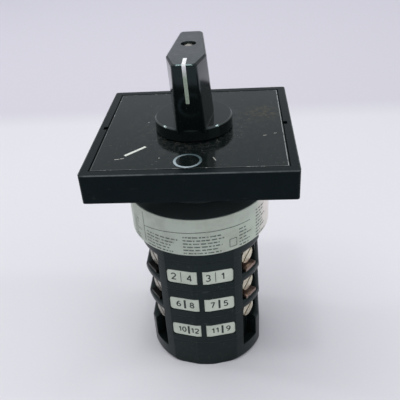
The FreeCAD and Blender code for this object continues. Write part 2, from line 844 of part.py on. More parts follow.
def front_bridge(index):
    """Copper bar with two tips that face the fixed contacts, held on the plunger's peg."""
    level = stage_base + index * stage_height + stage_floor + contact_level
    outer_y = bridge_inner_y + bridge_thickness
    bar = block(-bridge_half, bridge_half, -outer_y, -bridge_inner_y,
                level - bridge_height / 2, level + bridge_height / 2)
    hole = rod_between(peg_radius + seat_gap, V(0, -outer_y - cut_over, level),
                       V(0, -bridge_inner_y + cut_over, level))
    tips = [rod_between(tip_radius, V(x, -bridge_inner_y, level),
                        V(x, -bridge_inner_y + tip_height, level)) for x in (tip_x, -tip_x)]
    return fuse_all(bar.cut(hole), tips)


def front_spring(index):
    """Coil spring between the bridge and the wall behind the label pocket."""
    level = stage_base + index * stage_height + stage_floor + contact_level
    start_y = bridge_inner_y + bridge_thickness + seat_gap
    length = spring_wall_y - start_y - spring_wire - seat_gap
    half = spring_wire / 2
    corners = [(-half, -half), (half, -half), (half, half), (-half, half), (-half, -half)]
    steps = round(spring_turns * spring_steps)
    sections = []
    for step in range(steps + 1):
        angle = 2 * math.pi * step / spring_steps
        rise = start_y + half + length * step / steps
        sections.append(Part.makePolygon([V((spring_mean_radius + out) * math.cos(angle), -rise - along,
                                            level + (spring_mean_radius + out) * math.sin(angle))
                                          for out, along in corners]))
    return Part.makeLoft(sections, True, True)


def fixed_contacts(index):
    """Four copper strips: a foot on the floor, a tab at the bridge and a tab behind the screw."""
    floor = stage_base + index * stage_height + stage_floor
    lip = short_lip_reach if index == 0 else lip_reach
    foot = strip_outline(floor, lip, 0)
    contact_tab = block(contact_tab_inner_x, contact_tab_outer_x,
                        -contact_tab_y, -contact_tab_y + strip_thickness,
                        floor, floor + contact_tab_height)
    level = floor + contact_level
    tip = rod_between(tip_radius, V(tip_x, -contact_tab_y, level), V(tip_x, -contact_face_y, level))
    along = polar(1, terminal_azimuth)
    across = V(-along.y, along.x, 0)
    near = along * terminal_radius
    far = along * (terminal_radius + strip_thickness)
    tab = prism([near - across * strip_half_width, far - across * strip_half_width,
                 far + across * strip_half_width, near + across * strip_half_width],
                floor, floor + terminal_tab_height)
    hole = rod_between(terminal_screw_radius + running_gap,
                       terminal_axis(terminal_radius - cut_over, floor + terminal_level),
                       terminal_axis(terminal_radius + strip_thickness + cut_over,
                                     floor + terminal_level))
    contact = fuse_all(foot, [contact_tab, tip, tab]).cut(hole)
    return Part.makeCompound(four_ways(contact))


def washer_face():
    return terminal_radius + strip_thickness + washer_thickness


def clamp_washers(index):
    """Square washers under the heads of the terminal screws."""
    level = stage_base + index * stage_height + stage_floor + terminal_level
    along = polar(1, terminal_azimuth)
    across = V(-along.y, along.x, 0)
    near = along * (terminal_radius + strip_thickness)
    far = along * washer_face()
    plate = prism([near - across * washer_half, far - across * washer_half,
                   far + across * washer_half, near + across * washer_half],
                  level - washer_half, level + washer_half)
    hole = rod_between(terminal_screw_radius + running_gap, terminal_axis(terminal_radius, level),
                       terminal_axis(washer_face() + cut_over, level))
    return Part.makeCompound(four_ways(plate.cut(hole)))


def terminal_screws(index):
    level = stage_base + index * stage_height + stage_floor + terminal_level
    face = washer_face() + terminal_screw_head_height
    head = rod_between(terminal_screw_head_radius, terminal_axis(washer_face(), level),
                       terminal_axis(face, level))
    shank = rod_between(terminal_screw_radius, terminal_axis(terminal_screw_depth, level),
                        terminal_axis(washer_face(), level))
    length = 2 * terminal_screw_head_radius + cut_over
    slot = Part.makeBox(length, slot_depth + cut_over, slot_width,
                        V(-length / 2, -face - cut_over, -slot_width / 2))
    slot.rotate(ORIGIN, V(0, 1, 0), -screw_slot_angle)
    slot.translate(V(0, 0, level))
    slot.rotate(ORIGIN, UP, terminal_azimuth)
    return Part.makeCompound(four_ways(head.fuse(shank).cut(slot).removeSplitter()))


def right_label(index):
    """Printed plate with a rounded outer end, bent to lie in the pocket."""
    base = stage_base + index * stage_height
    low = base + label_level - label_height / 2
    high = low + label_height
    path = label_path()
    middle, bend, end = path
    start = V(label_rib_half + label_slack, middle.y, 0)
    facet = (end - bend).normalize()
    out = V(facet.y, -facet.x, 0)
    last = end - facet * (label_slack + label_thickness * facet.y)
    tilt = math.atan2(facet.y, facet.x)
    miter = V(math.tan(tilt / 2) * label_thickness, -label_thickness, 0)
    plate = prism([start, bend, last, last + out * label_thickness, bend + miter,
                   start - V(0, label_thickness, 0)], low, high)
    corners = [edge for edge in plate.Edges
               if abs(edge.CenterOfMass.z - low) < 0.01 or abs(edge.CenterOfMass.z - high) < 0.01]
    ends = [edge for edge in corners if abs(edge.Length - label_thickness) < 0.01
            and edge.CenterOfMass.x > label_half - 2 * label_corner]
    return plate.makeFillet(label_corner, ends)


def stage_parts(index):
    """Named pieces of one stage; stage 1 is the one nearest to the drum."""
    number = stage_count - index
    plunger = front_plunger(index)
    bridge = front_bridge(index)
    spring = front_spring(index)
    label = right_label(index)
    return {
        f"stage_{number}_housing": stage_housing(index),
        f"stage_{number}_cam": cam(index),
        f"stage_{number}_front_plunger": plunger,
        f"stage_{number}_back_plunger": flip_y(plunger),
        f"stage_{number}_front_bridge": bridge,
        f"stage_{number}_back_bridge": flip_y(bridge),
        f"stage_{number}_front_spring": spring,
        f"stage_{number}_back_spring": flip_y(spring),
        f"stage_{number}_fixed_contacts": fixed_contacts(index),
        f"stage_{number}_clamp_washers": clamp_washers(index),
        f"stage_{number}_terminal_screws": terminal_screws(index),
        f"stage_{number}_label_right": label,
        f"stage_{number}_label_left": flip_x(label),
    }


def all_parts():
    leaf = leaf_spring()
    parts = {
        "knob": knob(),
        "knob_screw": knob_screw(),
        "legend_plate": legend_plate(),
        "plate_frame": plate_frame(),
        "plate_screws": plate_screws(),
        "threaded_inserts": inserts(),
        "latch_lid": latch_lid(),
        "latch_housing": latch_housing(),
        "rating_band": rating_band(),
        "index_wheel": index_wheel(),
        "stop_disc": stop_disc(),
        "front_leaf_spring": leaf,
        "back_leaf_spring": flip_y(leaf),
        "shaft": shaft(),
        "shaft_clip": shaft_clip(),
        "stack_lid": stack_lid(),
        "end_cap": end_cap(),
        "tie_bolts": tie_bolts(),
        "tie_nuts": tie_nuts(),
    }
    for index in range(stage_count):
        parts.update(stage_parts(index))
    return parts


os.makedirs("parts", exist_ok=True)
for name, shape in all_parts().items():
    shape.exportStep(f"parts/{name}.step")
    print(f"{name}: {len(shape.Solids)} solid, valid {shape.isValid()}, {shape.Volume:.1f} mm3")
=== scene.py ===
"""Looks of the rotary cam switch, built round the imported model.

Lengths are in metres and colours are linear. The front faces -Y, and azimuths run from it towards +X.
"""
import math
import random

import bpy
from mathutils import Matrix, Vector


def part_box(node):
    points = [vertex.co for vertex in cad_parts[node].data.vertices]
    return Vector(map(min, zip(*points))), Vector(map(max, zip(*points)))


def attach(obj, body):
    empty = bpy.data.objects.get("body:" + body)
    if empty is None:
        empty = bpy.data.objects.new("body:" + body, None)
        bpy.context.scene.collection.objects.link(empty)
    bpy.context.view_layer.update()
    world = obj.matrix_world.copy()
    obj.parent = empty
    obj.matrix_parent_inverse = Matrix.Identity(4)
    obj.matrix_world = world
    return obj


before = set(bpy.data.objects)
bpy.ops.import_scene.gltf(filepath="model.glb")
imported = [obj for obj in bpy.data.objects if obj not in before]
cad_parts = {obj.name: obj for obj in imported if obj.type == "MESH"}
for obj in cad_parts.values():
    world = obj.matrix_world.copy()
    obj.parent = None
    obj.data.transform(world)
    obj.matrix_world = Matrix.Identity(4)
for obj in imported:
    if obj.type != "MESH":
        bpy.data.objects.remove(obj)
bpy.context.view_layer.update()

MM = 0.001
HOUSING_BODY = "switch_body"
ROTOR_BODY = "rotor"
STAGES = (1, 2, 3)
SEED = 7

# Camera of the photograph, its angles in radians
CAMERA_PLACE = Vector((15.39, -166.49, 168.82)) * MM
CAMERA_YAW = -0.0914
CAMERA_PITCH = 0.5664
CAMERA_ROLL = -0.0711
CAMERA_LENS = 49.46
CAMERA_CLIP = 5.0 * MM

# Studio: lamps as name, place, point faced, size, watts and colour
LAMPS = (
    ("overhead", (-0.15, 0.10, 0.75), (0, 0, 0.05), 0.7, 2.35, (1.0, 0.99, 0.98)),
    ("side", (0.55, -0.25, 0.35), (0, 0, 0.05), 0.4, 0.5, (1.0, 1.0, 1.0)),
    ("left_spot", (-0.812, 0.170, 0.662), (0, 0, 0.09), 0.10, 0.9, (1.0, 1.0, 1.0)),
    ("right_spot", (0.700, 0.021, 0.817), (0, 0, 0.09), 0.10, 0.9, (1.0, 1.0, 1.0)),
    ("above", (-0.09, -0.23, 1.01), (0, 0, 0.09), 0.10, 0.9, (1.0, 1.0, 1.0)),
)
SKY_COLOUR = (0.93, 0.94, 1.0, 1.0)
SKY_STRENGTH = 0.55
FLOOR_REACH = 3.0
FLOOR_TONES = ((0.74, 0.74, 0.78), (0.775, 0.775, 0.81))
# Backdrop tones at its near edge and far end; the brightening is painted light
BACKDROP_BRIGHTENING_TONES = ((0.67, 0.66, 0.72), (0.85, 0.84, 0.92))
BACKDROP_START = 0.205
BACKDROP_END = 0.235
BACKDROP_BRIGHTEST = 0.75

# Places taken from the frame
PLATE_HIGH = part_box("plate_frame")[1]
LEGEND_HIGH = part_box("legend_plate")[1]
KNOB_LOW, KNOB_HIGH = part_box("knob")
SCREW_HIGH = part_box("knob_screw")[1]
BAND_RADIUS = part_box("rating_band")[1].x
BAND_DEGREE = math.radians(1) * BAND_RADIUS

# Printed marks on the legend plate and the knob
INK_LIFT = 0.03 * MM
RING_PLACE = Vector((-0.5, -24.2, 0)) * MM
RING_OUTER = 4.3 * MM
RING_INNER = 3.55 * MM
RING_STEPS = 64
LINE_START = 20.3 * MM
LINE_END = 28.3 * MM
LINE_WIDTH = 1.0 * MM
LINE_AZIMUTH = -45.0
POINTER_WIDTH = 1.12 * MM
POINTER_BACK = -14.0 * MM
POINTER_LOW = 106.1 * MM
POINTER_STEPS = 12
POINTER_EDGE = 0.9 * MM
POINTER_STANDOFF = 4 * POINTER_EDGE
POINTER_BEND_STEPS = 8
FRONT_REACH = -60.0 * MM
TOP_REACH = 160.0 * MM

# Terminal numbers: one row a stage from the top one down, left pair and then right pair
NUMBERS = (("2", "4", "3", "1"), ("6", "8", "7", "5"), ("10", "12", "11", "9"))
NUMBER_PLACES = ((-9.3, -3.7, 2.9, 8.2), (-8.5, -3.6, 3.9, 8.6), (-8.15, -3.4, 4.4, 9.1))
NUMBER_HEIGHTS = (2.9 * MM, 2.6 * MM, 2.5 * MM)
NUMBER_STROKE = 0.45 * MM
GLYPH_WIDTH = 0.6
GLYPH_SPACING = 0.62
DIVIDER_PLACES = ((-6.7, 5.5), (-6.2, 6.3), (-5.65, 6.95))
DIVIDER_WIDTHS = (0.22 * MM, 0.75 * MM, 0.75 * MM)
DIVIDER_HEIGHTS = (4.4 * MM, 4.0 * MM, 4.0 * MM)
STROKE_STEP = 0.3 * MM

# Print on the drum's band, with azimuths in degrees. A column of bars has its first and last azimuth
# and its first row, and a row ends at random up to BAND_RAGGED degrees short of the last azimuth.
BAND_RULE_AZIMUTH = -46.0
BAND_RULE_TOP = 69.4 * MM
BAND_RULE_LOW = 57.6 * MM
BAND_RULE_WIDTH = 0.26 * MM
BAND_LINE = ((-46.0, 63.9), (-33.0, 64.7), (-18.0, 65.3), (3.0, 65.7), (22.0, 65.7), (46.0, 65.5))
BAND_TEXT_TOP = 64.4 * MM
BAND_TEXT_PITCH = 1.28 * MM
BAND_TEXT_ROWS = 6
BAND_BAR_WIDTH = 0.5 * MM
BAND_BAR_LENGTHS = (0.5 * MM, 2.0 * MM)
BAND_BAR_GAPS = (0.25 * MM, 0.6 * MM)
BAND_RAGGED = 9
BAND_COLUMNS = (
    (-62.0, -50.0, -1), (-43.0, -13.0, 1), (-10.0, 23.0, 0), (35.0, 50.0, 0), (53.0, 68.0, -3),
)
BAND_BOX = (26.5, 32.5, 57.9 * MM, 61.0 * MM)

# Domed top of the knob's screw
CROWN_RISE = 1.05 * MM
CROWN_SLOT = 0.45 * MM
CROWN_ROWS = 8
CROWN_COLUMNS = 16
CROWN_END = 0.97

# Wear, dust and scratches on the front plate and the knob, with painted highlights along edges and
# painted sheen on tops; scratches as place and run
EDGE_EASE = 0.4 * MM
EDGE_HIGHLIGHT_WIDTH = 0.4 * MM
KNOB_RUBBED_AND_SHEEN = 3.0 * MM
SKIRT_TOP = 96.3 * MM
RIM_EASE = 0.7 * MM
GRIP_SIDE = (4.5 * MM, 5.5 * MM)
POINTER_FADE_START = 1.2 * MM
POINTER_FADE_END = 4.6 * MM
STAIN_PLACE = (22.7 * MM, 8.5 * MM)
STAIN_REACH = (8.0 * MM, 2.5 * MM)
FOOT_DUST_REACH = (24.0 * MM, 12.5 * MM)
WEAR_INSET = 0.18 * MM
WEAR_WIDTH = 0.20 * MM
WEAR_RIGHT = (2.0 * MM, 0.5 * MM)
DUST_COUNT = 70
DUST_MARGIN = 2 * MM
DUST_CORNERS = 5
DUST_SIZES = (0.05 * MM, 0.14 * MM)
DUST_DEPTHS = (0.4, 1.0)
FOOT_DUST_COUNT = 90
FOOT_DUST_RADII = (12.9 * MM, 18.5 * MM)
SCRATCH_WIDTH = 0.34 * MM
SCRATCHES = (
    ((-22.8, -22.4), (1.5, 0.3)), ((-21.1, -22.0), (1.2, 0.4)), ((-9.5, -22.2), (0.5, 0.2)),
    ((22.3, -8.9), (1.1, 0.2)), ((25.7, -7.6), (0.9, 0.3)), ((7.0, -22.4), (0.9, -2.2)),
    ((-16.1, 3.5), (0.6, 0.3)),
)

# Paler right end of the band, and painted shade on the metal parts towards the switch's left
RIGHT_END_REACH = (19.0 * MM, 24.5 * MM)
RIGHT_END_RAGGED = 1.5 * MM
LEFT_SHADE_REACH = 4 * MM

# Tones and spreads that several materials share
COOL_SHEEN = (0.68, 0.96, 0.97, 1.0)
GREY_DUST = (0.30, 0.31, 0.29)
TONE_SPREAD = (0.35, 0.70)
SHEEN_SPREAD = (0.30, 0.70)
WIDE_SHEEN_SPREAD = (0.30, 0.75)
FLAT_TOP = (0.97, 0.995)
RUB_SOFTNESS = 0.12

# Tones of single materials, in pairs where a material varies from one to the other
PLATE_TONES = ((0.0012, 0.0032, 0.0042), (0.0025, 0.0050, 0.0060))
# Painted sheen on the plate's upward faces, then a painted highlight on its upper outer edge
PLATE_TOP_SHEEN_TONE = (0.008, 0.012, 0.013)
PLATE_EDGE_HIGHLIGHT_TONE = (0.13, 0.145, 0.145)
HOUSING_TONES = ((0.0036, 0.0062, 0.0060), (0.0062, 0.0092, 0.0088))
# Lighter lid tones: painted light for a lid that sits in shade under the plate
LID_LIT_TONES = ((0.050, 0.064, 0.066), (0.070, 0.086, 0.088))
KNOB_TONES = ((0.004, 0.006, 0.006), (0.007, 0.009, 0.009))
# Painted sheen on the knob's top, then painted sheen on the skirt's top, then a painted highlight on
# the skirt's rim
KNOB_TOP_SHEEN_TONES = ((0.060, 0.068, 0.074), (0.088, 0.096, 0.103))
SKIRT_TOP_SHEEN_TONE = (0.013, 0.016, 0.016)
SKIRT_RIM_HIGHLIGHT_TONE = (0.060, 0.066, 0.066)
LEGEND_TONES = ((0.0035, 0.0060, 0.0060), (0.0060, 0.0085, 0.0085))
STAIN_TONE = (0.075, 0.062, 0.024)
FOOT_DUST_TONE = (0.34, 0.34, 0.30)
LEGEND_DUST_TONE = (0.32, 0.32, 0.28)
FILM_GRIME_TONE = (0.32, 0.34, 0.30)
POINTER_TONES = ((0.86, 0.87, 0.88), (0.36, 0.44, 0.34))
POINTER_WORN_TONE = (0.32, 0.36, 0.31)
RING_TONES = ((0.38, 0.46, 0.49), (0.055, 0.090, 0.100))
RING_WORN_TONE = (0.12, 0.16, 0.17)
SILVER_TONES = ((0.070, 0.077, 0.077), (0.33, 0.35, 0.35))


def put(name, verts, faces, material):
    """New mesh object from plain lists."""
    mesh = bpy.data.meshes.new(name)
    mesh.from_pydata([tuple(v) for v in verts], [], faces)
    mesh.materials.append(material)
    mesh.update()
    thing = bpy.data.objects.new(name, mesh)
    bpy.context.scene.collection.objects.link(thing)
    return thing


def dress(thing, body):
    """Makes a piece ride on a body."""
    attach(thing, body)


class Shader:
    """Small builder for a Principled material in object coordinates."""

    def __init__(self, name, **sockets):
        self.material = bpy.data.materials.new(name)
        self.material.use_nodes = True
        self.tree = self.material.node_tree
        self.main = self.tree.nodes["Principled BSDF"]
        self.coords = self.tree.nodes.new("ShaderNodeTexCoord").outputs["Object"]
        for socket, value in sockets.items():
            self.main.inputs[socket.replace("_", " ")].default_value = value

    def link(self, source, target):
        self.tree.links.new(source, target)

    def noise(self, scale, detail=3.0, roughness=0.55, distortion=0.0, stretch=(1, 1, 1)):
        place = self.tree.nodes.new("ShaderNodeMapping")
        place.inputs["Scale"].default_value = stretch
        self.link(self.coords, place.inputs["Vector"])
        node = self.tree.nodes.new("ShaderNodeTexNoise")
        node.inputs["Scale"].default_value = scale
        node.inputs["Detail"].default_value = detail
        node.inputs["Roughness"].default_value = roughness
        node.inputs["Distortion"].default_value = distortion
        self.link(place.outputs["Vector"], node.inputs["Vector"])
        return node.outputs["Fac"]

    def range(self, value, low, high, out_low=0.0, out_high=1.0):
        """Value stretched from one range to another and held at its ends."""
        node = self.tree.nodes.new("ShaderNodeMapRange")
        node.inputs["From Min"].default_value = low
        node.inputs["From Max"].default_value = high
        node.inputs["To Min"].default_value = out_low
        node.inputs["To Max"].default_value = out_high
        self.link(value, node.inputs["Value"])
        return node.outputs["Result"]

    def math(self, operation, first, second):
        node = self.tree.nodes.new("ShaderNodeMath")
        node.operation = operation
        for index, value in enumerate((first, second)):
            if isinstance(value, (int, float)):
                node.inputs[index].default_value = value
            else:
                self.link(value, node.inputs[index])
        return node.outputs[0]

    def times(self, first, second):
        return self.math("MULTIPLY", first, second)

    def plus(self, first, second):
        return self.math("ADD", first, second)

    def axis(self, name):
        """One of the point's own coordinates."""
        node = self.tree.nodes.new("ShaderNodeSeparateXYZ")
        self.link(self.coords, node.inputs[0])
        return node.outputs[name]

    def off_axis(self, name):
        """Distance from the middle along one axis."""
        return self.math("ABSOLUTE", self.axis(name), 0.0)

    def reach(self, place):
        """Distance from an upright line through a place."""
        flat = self.tree.nodes.new("ShaderNodeMapping")
        flat.inputs["Location"].default_value = (-place[0], -place[1], 0)
        flat.inputs["Scale"].default_value = (1, 1, 0)
        node = self.tree.nodes.new("ShaderNodeVectorMath")
        node.operation = "LENGTH"
        self.link(self.coords, flat.inputs["Vector"])
        self.link(flat.outputs["Vector"], node.inputs[0])
        return node.outputs["Value"]

    def facing(self, axis):
        """Part of the surface's own direction along one axis."""
        node = self.tree.nodes.new("ShaderNodeSeparateXYZ")
        normal = self.tree.nodes.new("ShaderNodeNewGeometry").outputs["Normal"]
        self.link(normal, node.inputs[0])
        return node.outputs[axis]

    def mix(self, factor, first, second):
        """First colour where the factor is 0, second where it is 1."""
        node = self.tree.nodes.new("ShaderNodeMix")
        node.data_type = "RGBA"
        self.link(factor, node.inputs["Factor"])
        for key, value in (("A", first), ("B", second)):
            socket = [i for i in node.inputs if i.name == key and i.type == "RGBA"][0]
            if isinstance(value, tuple):
                socket.default_value = (*value, 1.0)
            else:
                self.link(value, socket)
        return [o for o in node.outputs if o.type == "RGBA"][0]

    def colour(self, value):
        self.link(value, self.main.inputs["Base Color"])

    def rough(self, value):
        self.link(value, self.main.inputs["Roughness"])

    def bump(self, height, strength, distance, ease=0.0):
        """Fine relief, and edges that catch the light as if eased by a small radius."""
        node = self.tree.nodes.new("ShaderNodeBump")
        if ease:
            rounding = self.tree.nodes.new("ShaderNodeBevel")
            rounding.inputs["Radius"].default_value = ease
            self.link(rounding.outputs["Normal"], node.inputs["Normal"])
        node.inputs["Strength"].default_value = strength
        node.inputs["Distance"].default_value = distance
        self.link(height, node.inputs["Height"])
        self.link(node.outputs["Normal"], self.main.inputs["Normal"])

    def specks(self, scale, low, high):
        """Sparse fine dots."""
        return self.range(self.noise(scale, detail=2.0, roughness=0.7), low, high)

    def rubbed_spots(self, start):
        """Spots where a film is rubbed, fewer of them the higher the start is."""
        return self.range(self.noise(900, roughness=0.7), start, start + RUB_SOFTNESS)

    def rubbed_film(self, rubbed, rough):
        """Roughness and relief of a thin film that is rubbed in spots."""
        self.rough(self.range(rubbed, 0.0, 1.0, *rough))
        self.bump(rubbed, strength=0.1, distance=0.02 * MM)
        return self.material


def plate_edge_highlight(shader):
    """Where a highlight is painted: how near a point is to the upper outer edge of the front plate's
    frame, in patches.
    """
    farther = shader.math("MAXIMUM", shader.off_axis("X"), shader.off_axis("Y"))
    outer = shader.range(farther, PLATE_HIGH.x - EDGE_HIGHLIGHT_WIDTH, PLATE_HIGH.x)
    upper = shader.range(shader.axis("Z"), PLATE_HIGH.z - EDGE_HIGHLIGHT_WIDTH, PLATE_HIGH.z - EDGE_HIGHLIGHT_WIDTH / 2)
    # Patches that break up the painted highlight
    worn = shader.range(shader.noise(240), 0.35, 0.6, 0.5, 1.0)
    return shader.times(worn, shader.times(outer, upper))


def moulded_black(name, tones, specular, rough, dust, grain, top=None):
    """Black moulded plastic with cloudy sheen, dust specks, hair scratches and a fine skin; given a
    top tone, also painted sheen on faces that look up and a painted highlight along the frame's upper
    outer edge.
    """
    shader = Shader(name, Specular_IOR_Level=specular, Specular_Tint=COOL_SHEEN)
    clouds = shader.noise(90, detail=4.0)
    specks = shader.specks(1500, 0.66, 0.74)
    hairs = shader.noise(220, detail=2.0, roughness=0.5, distortion=0.6, stretch=(1, 14, 2))
    scratches = shader.range(hairs, 0.67, 0.72)
    tone = shader.mix(shader.range(clouds, *TONE_SPREAD), *tones)
    if top:
        # Painted sheen: faces that look up get a lighter tone
        tone = shader.mix(shader.range(shader.facing("Z"), 0.90, 0.98), tone, top)
        # Painted highlight along the frame's upper outer edge
        tone = shader.mix(plate_edge_highlight(shader), tone, PLATE_EDGE_HIGHLIGHT_TONE)
    marks = shader.math("MAXIMUM", specks, shader.times(scratches, 0.5))
    shader.colour(shader.mix(shader.times(marks, dust), tone, GREY_DUST))
    shader.rough(shader.range(clouds, *WIDE_SHEEN_SPREAD, *rough))
    shader.bump(shader.noise(grain, roughness=0.6), strength=0.12, distance=0.05 * MM,
                ease=EDGE_EASE)
    return shader.material


def skirt_rim_highlight(shader, below_grip):
    """Where a highlight is painted: the eased rim of the knob's skirt, on both sides of the grip."""
    tilt = shader.facing("Z")
    slope = shader.times(shader.range(tilt, 0.3, 0.6), shader.range(tilt, 0.97, 0.85))
    near_rim = shader.range(shader.axis("Z"), SKIRT_TOP - RIM_EASE, SKIRT_TOP - RIM_EASE / 2)
    beside_grip = shader.range(shader.off_axis("X"), *GRIP_SIDE)
    return shader.times(shader.times(slope, shader.times(near_rim, below_grip)), beside_grip)


def knob_material():
    """Glossy black moulding whose top is rubbed dull by fingers and given a grey painted sheen, with
    painted sheen on the skirt's top and a painted highlight on the skirt's rim.
    """
    shader = Shader("knob_black", Specular_IOR_Level=0.28, Specular_Tint=COOL_SHEEN)
    clouds = shader.noise(110, detail=4.0)
    scuffs = shader.noise(700, roughness=0.65, distortion=0.3)
    specks = shader.specks(1700, 0.70, 0.76)
    flat = shader.range(shader.facing("Z"), *FLAT_TOP)
    high = shader.range(shader.axis("Z"), KNOB_HIGH.z - KNOB_RUBBED_AND_SHEEN, KNOB_HIGH.z)
    rubbed = shader.times(flat, high)
    below_grip = shader.range(shader.axis("Z"), SKIRT_TOP + RIM_EASE, SKIRT_TOP + RIM_EASE / 2)
    tone = shader.mix(shader.range(clouds, *TONE_SPREAD), *KNOB_TONES)
    # Painted sheen on the skirt's top
    tone = shader.mix(shader.times(flat, below_grip), tone, SKIRT_TOP_SHEEN_TONE)
    # Painted highlight on the skirt's rim
    tone = shader.mix(skirt_rim_highlight(shader, below_grip), tone, SKIRT_RIM_HIGHLIGHT_TONE)
    # Painted sheen: the knob's top gets a grey tone, patchy with scuffs; the rubbed roughness is real
    # wear
    worn = shader.mix(shader.range(scuffs, 0.4, 0.7), *KNOB_TOP_SHEEN_TONES)
    tone = shader.mix(rubbed, tone, worn)
    shader.colour(shader.mix(shader.times(specks, 0.2), tone, GREY_DUST))
    smooth = shader.range(clouds, *WIDE_SHEEN_SPREAD, 0.10, 0.17)
    shader.rough(shader.plus(smooth, shader.times(rubbed, 0.25)))
    shader.bump(scuffs, strength=0.10, distance=0.03 * MM, ease=EDGE_EASE)
    return shader.material


def legend_material():
    """Dark laminate as smooth as a dull mirror: smudges, faint brushing, dust and a stain."""
    shader = Shader("legend_grey", Specular_IOR_Level=0.33, Specular_Tint=COOL_SHEEN)
    brushing = shader.noise(260, roughness=0.6, stretch=(9, 1, 1))
    clouds = shader.noise(45, detail=4.0, roughness=0.6, distortion=0.4)
    mottles = shader.range(shader.noise(650, detail=4.0, roughness=0.7, distortion=0.5), 0.46, 0.70)
    specks = shader.specks(1300, 0.70, 0.76)
    tone = shader.mix(shader.range(brushing, *TONE_SPREAD), *LEGEND_TONES)
    stain = shader.times(mottles, shader.range(shader.reach(STAIN_PLACE), *STAIN_REACH))
    tone = shader.mix(shader.times(stain, 0.8), tone, STAIN_TONE)
    foot = shader.range(shader.reach((0, 0)), *FOOT_DUST_REACH, 0.02, 0.11)
    tone = shader.mix(shader.times(mottles, foot), tone, FOOT_DUST_TONE)
    shader.colour(shader.mix(shader.times(specks, 0.3), tone, LEGEND_DUST_TONE))
    shader.rough(shader.range(clouds, *SHEEN_SPREAD, 0.07, 0.15))
    shader.bump(brushing, strength=0.02, distance=0.02 * MM)
    return shader.material


def printed_film(name, pale, stained, right_end_tone=None):
    """Pale film, a little stained and blotched, and paler towards its right end if told."""
    shader = Shader(name, Specular_IOR_Level=0.4)
    blotches = shader.noise(160, detail=4.0, roughness=0.6)
    fine = shader.noise(1800, detail=2.0)
    tone = shader.mix(shader.range(blotches, 0.42, 0.75), pale, stained)
    if right_end_tone:
        ragged = shader.range(blotches, *SHEEN_SPREAD, -RIGHT_END_RAGGED, RIGHT_END_RAGGED)
        place = shader.plus(shader.axis("X"), ragged)
        tone = shader.mix(shader.range(place, *RIGHT_END_REACH), tone, right_end_tone)
    grime = shader.times(shader.range(fine, 0.6, 0.8), 0.3)
    shader.colour(shader.mix(grime, tone, FILM_GRIME_TONE))
    shader.rough(shader.range(blotches, *SHEEN_SPREAD, 0.38, 0.55))
    shader.bump(fine, strength=0.05, distance=0.03 * MM)
    return shader.material


def metal(name, bright, dull, rough, scale, left=None):
    """Plated or bare metal with tarnish in patches, and painted shade towards the switch's left if
    told.
    """
    shader = Shader(name, Metallic=1.0)
    patches = shader.noise(scale, detail=4.0, roughness=0.65)
    tone = shader.mix(shader.range(patches, 0.38, 0.68), bright, dull)
    if left:
        # Painted shade towards the switch's left
        tone = shader.mix(shader.range(shader.axis("X"), 0.0, LEFT_SHADE_REACH), left, tone)
    shader.colour(tone)
    shader.rough(shader.range(patches, *SHEEN_SPREAD, *rough))
    shader.bump(shader.noise(scale * 5), strength=0.15, distance=0.03 * MM)
    return shader.material


def inner_plastic(name, pale, dark):
    """Dull coloured plastic of the hidden moving parts."""
    shader = Shader(name, Specular_IOR_Level=0.4)
    clouds = shader.noise(200)
    shader.colour(shader.mix(shader.range(clouds, *TONE_SPREAD), pale, dark))
    shader.rough(shader.range(clouds, *SHEEN_SPREAD, 0.45, 0.6))
    shader.bump(shader.noise(1500, detail=2.0), strength=0.08, distance=0.03 * MM)
    return shader.material


def ink(name, solid, worn, rub_start):
    """Print or paint whose surface is rubbed in spots."""
    shader = Shader(name, Specular_IOR_Level=0.35)
    rubbed = shader.rubbed_spots(rub_start)
    shader.colour(shader.mix(rubbed, solid, worn))
    return shader.rubbed_film(rubbed, rough=(0.5, 0.65))


def pointer_paint():
    """White paint, lighter on the knob's top and darker and greener down its front."""
    shader = Shader("pointer_paint", Specular_IOR_Level=0.35)
    rubbed = shader.rubbed_spots(0.58)
    down = shader.range(shader.axis("Z"), KNOB_HIGH.z - POINTER_FADE_START, KNOB_HIGH.z - POINTER_FADE_END)
    paint = shader.mix(down, *POINTER_TONES)
    shader.colour(shader.mix(rubbed, paint, POINTER_WORN_TONE))
    return shader.rubbed_film(rubbed, rough=(0.5, 0.65))


def ring_paint():
    """Thin blue-grey paint, fuller at the ring's front left than at its back right."""
    shader = Shader("ring_paint", Specular_IOR_Level=0.35)
    across = shader.plus(shader.axis("X"), shader.axis("Y"))
    centre = RING_PLACE.x + RING_PLACE.y
    thin = shader.range(across, centre - RING_OUTER, centre + RING_OUTER)
    rubbed = shader.rubbed_spots(0.54)
    paint = shader.mix(thin, *RING_TONES)
    shader.colour(shader.mix(rubbed, paint, RING_WORN_TONE))
    return shader.rubbed_film(rubbed, rough=(0.45, 0.6))


def silver_wear():
    """Silver that shows through along the legend's edge, most of all on its right side."""
    shader = Shader("silver_wear", Specular_IOR_Level=0.35)
    start, end = (LEGEND_HIGH.x - inset for inset in WEAR_RIGHT)
    right = shader.range(shader.axis("X"), start, end, 0.0, 0.20)
    bare = shader.range(shader.plus(shader.noise(420, roughness=0.7), right), 0.55, 0.66)
    shader.colour(shader.mix(bare, *SILVER_TONES))
    return shader.rubbed_film(bare, rough=(0.15, 0.5))


KNOB_BLACK = knob_material()
PLATE_BLACK = moulded_black("plate_black", PLATE_TONES, specular=0.10, rough=(0.20, 0.30),
                            dust=0.05, grain=900, top=PLATE_TOP_SHEEN_TONE)
HOUSING_BLACK = moulded_black("housing_black", HOUSING_TONES, specular=0.23, rough=(0.24, 0.38),
                              dust=0.11, grain=1400)
